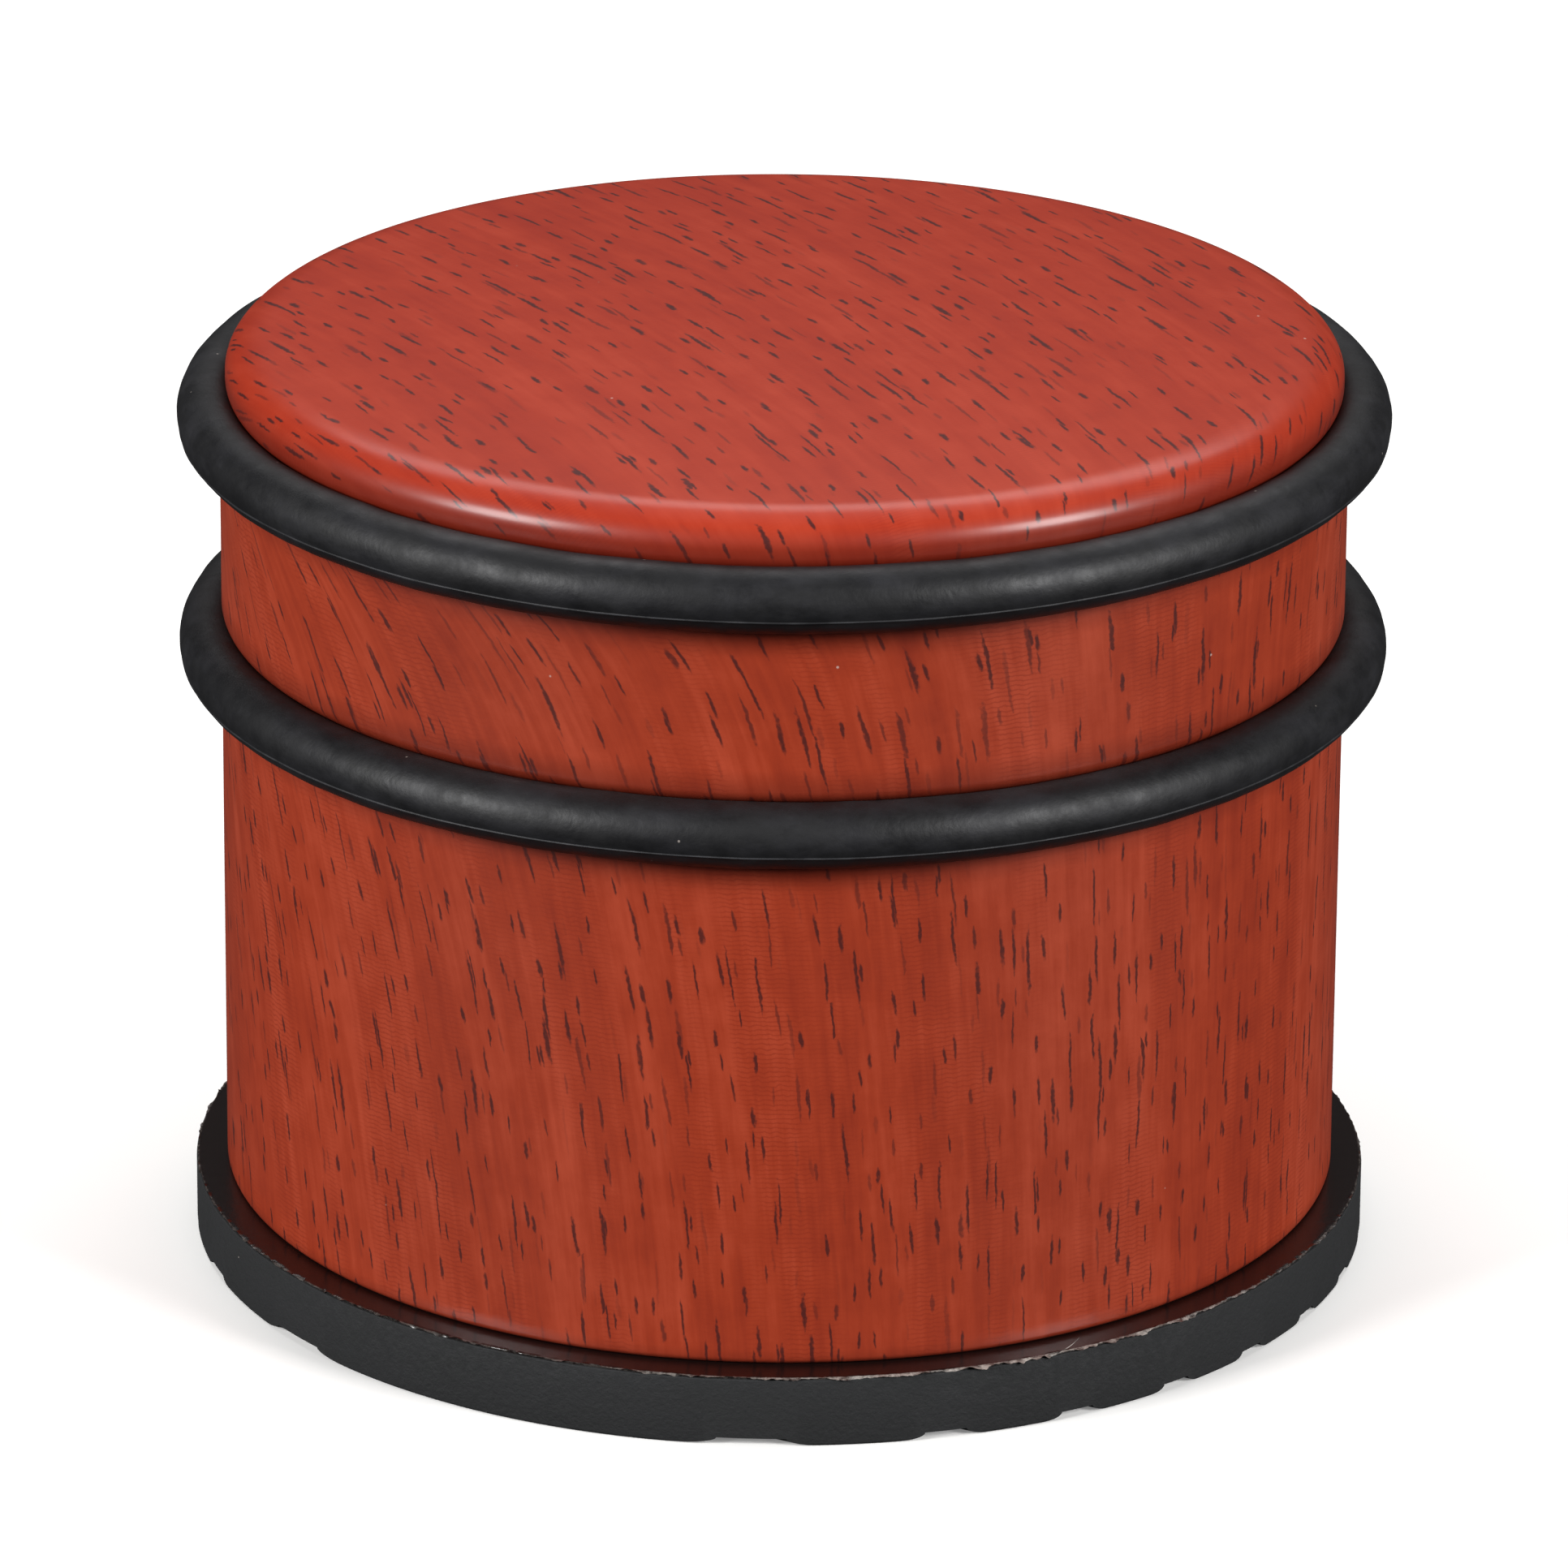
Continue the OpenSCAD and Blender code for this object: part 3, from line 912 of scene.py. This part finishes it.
class DOORSTOP_OT_film(bpy.types.Operator):
    """Make the bonding film with its torn, ragged edge"""
    bl_idname = "doorstop.film"
    bl_label = "Bonding Film"

    def execute(self, context):
        door_stop = context.scene.door_stop
        film = door_stop.film
        half_t = (FILM_TOP_Z - FILM_LOW.z) / 2
        burr = film.burr_t
        # A flat sheet whose edge thins into a lip, 1 mm wide until the tree draws it in
        mid_lip = FILM_R + 0.5 * MM
        runs = [[(0.0, half_t), (FILM_R - 0.3 * MM, half_t), (FILM_R, half_t - burr)],
                [(mid_lip, half_t - burr * 1.2), (FILM_R + 1.0 * MM, half_t - burr * 1.6)],
                [(mid_lip, half_t - burr * 2.0), (FILM_R, half_t - burr * 2.4),
                 (FILM_R - 0.05 * MM, -half_t), (0.0, -half_t)]]
        points = join_outline(runs, FILM_R)
        thread = curve_object("sliver", sliver_path(film))
        values = {"Path Radius": FILM_R, "Height": FILM_TOP_Z - half_t, "Segments": film.segments,
                  "Burr Width": film.burr_w, "Torn Width": film.torn_w, "Torn Turn": film.torn_turn,
                  "Lip Rise": film.lip_rise, "Sliver": thread, "Sliver Radius": film.whisker_r,
                  "Material": bonding_film(door_stop)}
        piece = run_tree(outline_object(points, FILM_R, False), film_tree(), values, "torn_bonding_film")
        bpy.data.objects.remove(thread)
        hand_over(piece, FILM_CREASE, "bonding_film", "adhesive_film")
        return {"FINISHED"}


class DOORSTOP_OT_inside(bpy.types.Operator):
    """Give the ballast core and the closing disc their cement and zinc finishes"""
    bl_idname = "doorstop.inside"
    bl_label = "Ballast and Disc Finish"

    def execute(self, context):
        door_stop = context.scene.door_stop
        for node, made in (("ballast_core", cast_cement), ("closing_disc", zinc_steel)):
            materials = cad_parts[node].data.materials
            materials.clear()
            materials.append(made(door_stop))
        return {"FINISHED"}


# ---------------------------------------------------------------- stage

WHITE = (1.0, 1.0, 1.0, 1.0)
SENSOR_MM = 36.0
# Where each softbox stands, its width and height, both in metres, and its watts
SOFTBOXES = {
    "left_softbox": ((-1.00, -0.60, 0.54), (0.45, 0.50), 20.0),
    "right_softbox": ((1.00, -0.64, 0.54), (0.40, 0.50), 19.5),
    "back_softbox": ((0.05, 0.84, 1.08), (1.3, 0.40), 6.5),
    "top_softbox": ((0.0, 0.20, 1.40), (0.9, 0.60), 7.5),
}


def softbox(name, aim, spot, size, power):
    """An oblong area light at spot that faces aim."""
    data = bpy.data.lights.new(name, "AREA")
    data.shape = "RECTANGLE"
    data.size, data.size_y = size
    data.energy = power
    lamp = place(data, name)
    lamp.location = spot
    lamp.rotation_euler = (Vector(aim) - Vector(spot)).to_track_quat("-Z", "Y").to_euler()
    return lamp


def pale_floor(door_stop):
    """A flat, matte, nearly white sheet, faintly lit from below like a light table."""
    stage = door_stop.stage
    material, shader, _ = new_material("Pale Matte Floor")
    fill(shader, {"Base Color": door_stop.finishes.floor, "Roughness": 0.9,
                  "Emission Color": WHITE, "Emission Strength": stage.floor_glow})
    data = bpy.data.meshes.new("floor")
    half = stage.floor_w / 2
    data.from_pydata([(-half, -half, 0), (half, -half, 0), (half, half, 0), (-half, half, 0)], [],
                     [(0, 1, 2, 3)])
    data.materials.append(material)
    return place(data, "floor")


class DOORSTOP_OT_stage(bpy.types.Operator):
    """Set up the pale floor, the soft lights and the camera"""
    bl_idname = "doorstop.stage"
    bl_label = "Stage"

    def execute(self, context):
        scene = context.scene
        stage = scene.door_stop.stage
        aim = Vector((0.0, 0.0, stage.aim_h))
        lights = [softbox(name, aim, *sizes) for name, sizes in SOFTBOXES.items()]
        # The overhead light only fills: the crowned top mirrors the one behind it
        lights[-1].visible_glossy = False
        floor = pale_floor(scene.door_stop)
        # As with dark cards laid round it, the object neither mirrors nor is lit by the pale sheet
        floor.visible_glossy = False
        floor.visible_diffuse = False

        data = bpy.data.cameras.new("camera")
        data.lens = stage.lens
        data.sensor_width = SENSOR_MM
        data.shift_x = stage.shift
        data.dof.use_dof = False
        data.clip_start = 10 * MM
        camera = place(data, "camera")
        away = Vector((0.0, -cos(stage.elevation), sin(stage.elevation)))
        camera.location = aim + away * stage.distance
        facing = (-away).to_track_quat("-Z", "Y").to_matrix() @ Matrix.Rotation(stage.roll, 3, "Z")
        camera.rotation_euler = facing.to_euler()
        scene.camera = camera

        world = bpy.data.worlds.new("Pale room")
        world.use_nodes = True
        fill(world.node_tree.nodes["Background"], {"Color": WHITE, "Strength": stage.room_glow})
        scene.world = world
        scene.view_settings.view_transform = "Standard"
        return {"FINISHED"}


class DOORSTOP_PT_panel(bpy.types.Panel):
    """Lists the steps that make the door stop"""
    bl_idname = "DOORSTOP_PT_panel"
    bl_label = "Door Stop"
    bl_space_type = "VIEW_3D"
    bl_region_type = "UI"
    bl_category = "Door Stop"

    def draw(self, context):
        for step in STEPS:
            self.layout.operator(step.bl_idname)
        for group in ("can", "rings", "mat", "film", "grain", "finishes", "stage"):
            box = self.layout.box()
            box.label(text=group.capitalize())
            sizes = getattr(context.scene.door_stop, group)
            for name in sizes.bl_rna.properties.keys():
                if name not in {"rna_type", "name"}:
                    box.prop(sizes, name)


STEPS = (DOORSTOP_OT_can, DOORSTOP_OT_rings, DOORSTOP_OT_mat, DOORSTOP_OT_film, DOORSTOP_OT_inside,
         DOORSTOP_OT_stage)
CLASSES = (CanSizes, RingSizes, MatSizes, FilmSizes, PrintSizes, Finishes, StageSizes, DoorStop,
           *STEPS, DOORSTOP_PT_panel)


def register():
    for cls in CLASSES:
        bpy.utils.register_class(cls)
    bpy.types.Scene.door_stop = bpy.props.PointerProperty(type=DoorStop)


def unregister():
    del bpy.types.Scene.door_stop
    for cls in reversed(CLASSES):
        bpy.utils.unregister_class(cls)


def main():
    """Makes every piece and the stage."""
    register()
    for step in STEPS:
        group, name = step.bl_idname.split(".")
        getattr(getattr(bpy.ops, group), name)()


if __name__ == "__main__":
    main()
